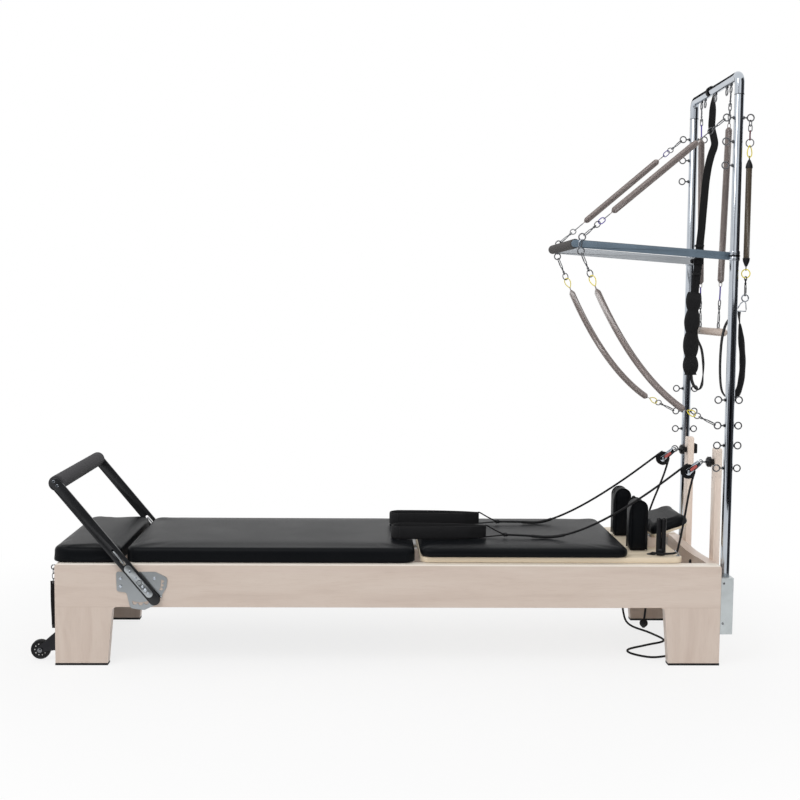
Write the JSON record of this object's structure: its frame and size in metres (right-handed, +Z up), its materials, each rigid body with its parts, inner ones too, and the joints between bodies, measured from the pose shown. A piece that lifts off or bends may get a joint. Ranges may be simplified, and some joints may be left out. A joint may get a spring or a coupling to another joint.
{
  "type": "pilates reformer with tower",
  "caption": "Wooden pilates reformer with a rolling padded carriage, ropes on pulleys, a footbar, and a tower with a push-through bar, springs, a roll-down bar and straps.",
  "frame": {"origin": "middle of the object's outer box in plan, at floor level", "axes": "+X from the foot end to the head end where the tower stands, +Y to the far side, +Z up"},
  "size_m": [2.5324, 0.6992, 2.1018],
  "materials": {
    "maple": "clear satin varnish",
    "birch_edge": "clear satin varnish",
    "black_leather": "satin upholstery vinyl",
    "black_webbing": "matt webbing and padding",
    "black_rubber": "matt",
    "black_plastic": "satin moulded",
    "zinc_plate": "zinc plated",
    "aluminium": "satin",
    "chrome": "polished",
    "spring_steel": "nickel plated",
    "blue_grey_paint": "satin",
    "dark_grey_paint": "satin",
    "grip_foam": "matt foam",
    "strap_cloth": "matt"
  },
  "bodies": {
    "base": {"side_rail_near": "maple", "side_rail_far": "maple", "foot_end_board": "maple", "head_end_board": "maple", "platform_pad": "black_leather", "track_near": "aluminium", "track_far": "aluminium", "spring_bar": "zinc_plate", "footbar_plate_near": "zinc_plate", "footbar_plate_far": "zinc_plate", "riser_near": "maple", "riser_far": "maple", "tower_socket_near": "aluminium", "tower_socket_far": "aluminium", "tower_post_near": "chrome", "tower_post_far": "chrome", "tower_top_bar": "chrome", "rope_near": "black_rubber", "rope_far": "black_rubber", "tower_spring_upper_near": "spring_steel", "tower_spring_upper_far": "spring_steel", "tower_spring_lower_near": "spring_steel", "tower_spring_lower_far": "spring_steel"},
    "wheel_near": {"transport_wheel_near": "black_rubber"},
    "wheel_far": {"transport_wheel_far": "black_rubber"},
    "mat_insert": {"mat_insert": "black_leather", "hand_loop_near": "black_webbing", "hand_loop_far": "black_webbing"},
    "footbar": {"footbar_arm_near": "dark_grey_paint", "footbar_arm_far": "dark_grey_paint", "footbar_grip": "grip_foam"},
    "carriage": {"carriage_board": "birch_edge", "carriage_pad": "black_leather", "rope_cleat_near": "black_plastic", "rope_cleat_far": "black_plastic", "carriage_spring_1": "spring_steel", "carriage_spring_2": "spring_steel", "carriage_spring_3": "spring_steel"},
    "roller_1": {"carriage_roller_1": "black_plastic"},
    "roller_2": {"carriage_roller_2": "black_plastic"},
    "roller_3": {"carriage_roller_3": "black_plastic"},
    "roller_4": {"carriage_roller_4": "black_plastic"},
    "rest_near": {"shoulder_rest_near": "black_leather"},
    "rest_far": {"shoulder_rest_far": "black_leather"},
    "headrest": {"headrest": "black_leather"},
    "knob_near": {"riser_knob_near": "black_plastic"},
    "pulley_near": {"pulley_block_near": "chrome"},
    "sheave_near": {"pulley_sheave_near": "black_plastic"},
    "knob_far": {"riser_knob_far": "black_plastic"},
    "pulley_far": {"pulley_block_far": "chrome"},
    "sheave_far": {"pulley_sheave_far": "black_plastic"},
    "push_bar": {"push_bar": "blue_grey_paint", "push_bar_grip": "grip_foam"},
    "roll_down": {"roll_down_bar": "maple", "roll_down_spring_near": "spring_steel", "roll_down_spring_far": "spring_steel"},
    "arm_spring": {"arm_spring": "spring_steel"},
    "arm_handle": {"arm_handle": "black_webbing"},
    "sling": {"sling": "black_webbing"},
    "foot_strap": {"foot_strap": "strap_cloth"}
  },
  "joints": [
    {"name": "wheel_spin_near", "type": "hinge", "parent": "base", "child": "wheel_near", "pos_m": [-1.23117, -0.255, 0.037], "axis": [0, 1, 0], "continuous": true},
    {"name": "wheel_spin_far", "type": "hinge", "parent": "base", "child": "wheel_far", "pos_m": [-1.23117, 0.255, 0.037], "axis": [0, 1, 0], "continuous": true},
    {"name": "insert_lift", "type": "slide", "parent": "base", "child": "mat_insert", "axis": [0, 0, 1], "range_m": [0, 0.12], "deforming": ["rope_near", "rope_far"]},
    {"name": "footbar_swing", "type": "hinge", "parent": "base", "child": "footbar", "pos_m": [-0.86418, 0, 0.299], "axis": [0, 1, 0], "range_deg": [-60, 50]},
    {"name": "carriage_slide", "type": "slide", "parent": "base", "child": "carriage", "axis": [1, 0, 0], "range_m": [0, 0.08], "deforming": ["rope_near", "rope_far"]},
    {"name": "roller_spin_1", "type": "hinge", "parent": "carriage", "child": "roller_1", "pos_m": [0.20783, -0.272, 0.3233], "axis": [0, 1, 0], "range_deg": [0, 230]},
    {"name": "roller_spin_2", "type": "hinge", "parent": "carriage", "child": "roller_2", "pos_m": [0.20783, 0.272, 0.3233], "axis": [0, 1, 0], "range_deg": [0, 230]},
    {"name": "roller_spin_3", "type": "hinge", "parent": "carriage", "child": "roller_3", "pos_m": [0.96783, -0.272, 0.3233], "axis": [0, 1, 0], "range_deg": [0, 230]},
    {"name": "roller_spin_4", "type": "hinge", "parent": "carriage", "child": "roller_4", "pos_m": [0.96783, 0.272, 0.3233], "axis": [0, 1, 0], "range_deg": [0, 230]},
    {"name": "rest_lift_near", "type": "slide", "parent": "carriage", "child": "rest_near", "axis": [0, 0, 1], "range_m": [0, 0.05]},
    {"name": "rest_lift_far", "type": "slide", "parent": "carriage", "child": "rest_far", "axis": [0, 0, 1], "range_m": [0, 0.05]},
    {"name": "headrest_tilt", "type": "hinge", "parent": "carriage", "child": "headrest", "pos_m": [0.98282, 0, 0.424], "axis": [0, 1, 0], "range_deg": [-14, 16]},
    {"name": "knob_turn_near", "type": "hinge", "parent": "base", "child": "knob_near", "pos_m": [1.18782, -0.19, 0.714], "axis": [1, 0, 0], "continuous": true},
    {"name": "knob_turn_far", "type": "hinge", "parent": "base", "child": "knob_far", "pos_m": [1.18782, 0.19, 0.714], "axis": [1, 0, 0], "continuous": true},
    {"name": "pulley_swivel_near", "type": "hinge", "parent": "base", "child": "pulley_near", "pos_m": [1.14813, -0.19, 0.714], "axis": [0, 0, 1], "range_deg": [-15, 15], "deforming": ["rope_near"]},
    {"name": "sheave_spin_near", "type": "hinge", "parent": "pulley_near", "child": "sheave_near", "pos_m": [1.09482, -0.19, 0.678], "axis": [0, 1, 0], "continuous": true},
    {"name": "pulley_swivel_far", "type": "hinge", "parent": "base", "child": "pulley_far", "pos_m": [1.14813, 0.19, 0.714], "axis": [0, 0, 1], "range_deg": [-15, 15], "deforming": ["rope_far"]},
    {"name": "sheave_spin_far", "type": "hinge", "parent": "pulley_far", "child": "sheave_far", "pos_m": [1.09482, 0.19, 0.678], "axis": [0, 1, 0], "continuous": true},
    {"name": "push_bar_swing", "type": "hinge", "parent": "base", "child": "push_bar", "pos_m": [1.21012, 0, 1.455], "axis": [0, 1, 0], "range_deg": [-60, 60], "stiffness_Nm_per_rad": 30, "springref_deg": 34.38, "deforming": ["tower_spring_upper_near", "tower_spring_lower_near", "tower_spring_upper_far", "tower_spring_lower_far"]},
    {"name": "roll_down_swing", "type": "hinge", "parent": "base", "child": "roll_down", "pos_m": [1.21012, 0, 2.0351], "axis": [0, 1, 0], "range_deg": [-35, 0]},
    {"name": "arm_spring_swing", "type": "hinge", "parent": "base", "child": "arm_spring", "pos_m": [1.25212, -0.292, 1.92675], "axis": [0, 1, 0], "range_deg": [-45, 0]},
    {"name": "arm_handle_swing", "type": "hinge", "parent": "arm_spring", "child": "arm_handle", "pos_m": [1.25212, -0.292, 1.31425], "axis": [0, 1, 0], "range_deg": [-30, 0]},
    {"name": "sling_swing", "type": "hinge", "parent": "base", "child": "sling", "pos_m": [1.21012, 0, 2.08], "axis": [0, 1, 0], "range_deg": [0, 30]},
    {"name": "foot_strap_swing", "type": "hinge", "parent": "base", "child": "foot_strap", "pos_m": [-1.17817, -0.24, 0.32645], "axis": [0, 1, 0], "range_deg": [0, 12]}
  ],
  "couplings": [
    {"joint": "roller_spin_1", "follows": "carriage_slide", "rad_per_m": 50},
    {"joint": "roller_spin_2", "follows": "carriage_slide", "rad_per_m": 50},
    {"joint": "roller_spin_3", "follows": "carriage_slide", "rad_per_m": 50},
    {"joint": "roller_spin_4", "follows": "carriage_slide", "rad_per_m": 50}
  ]
}
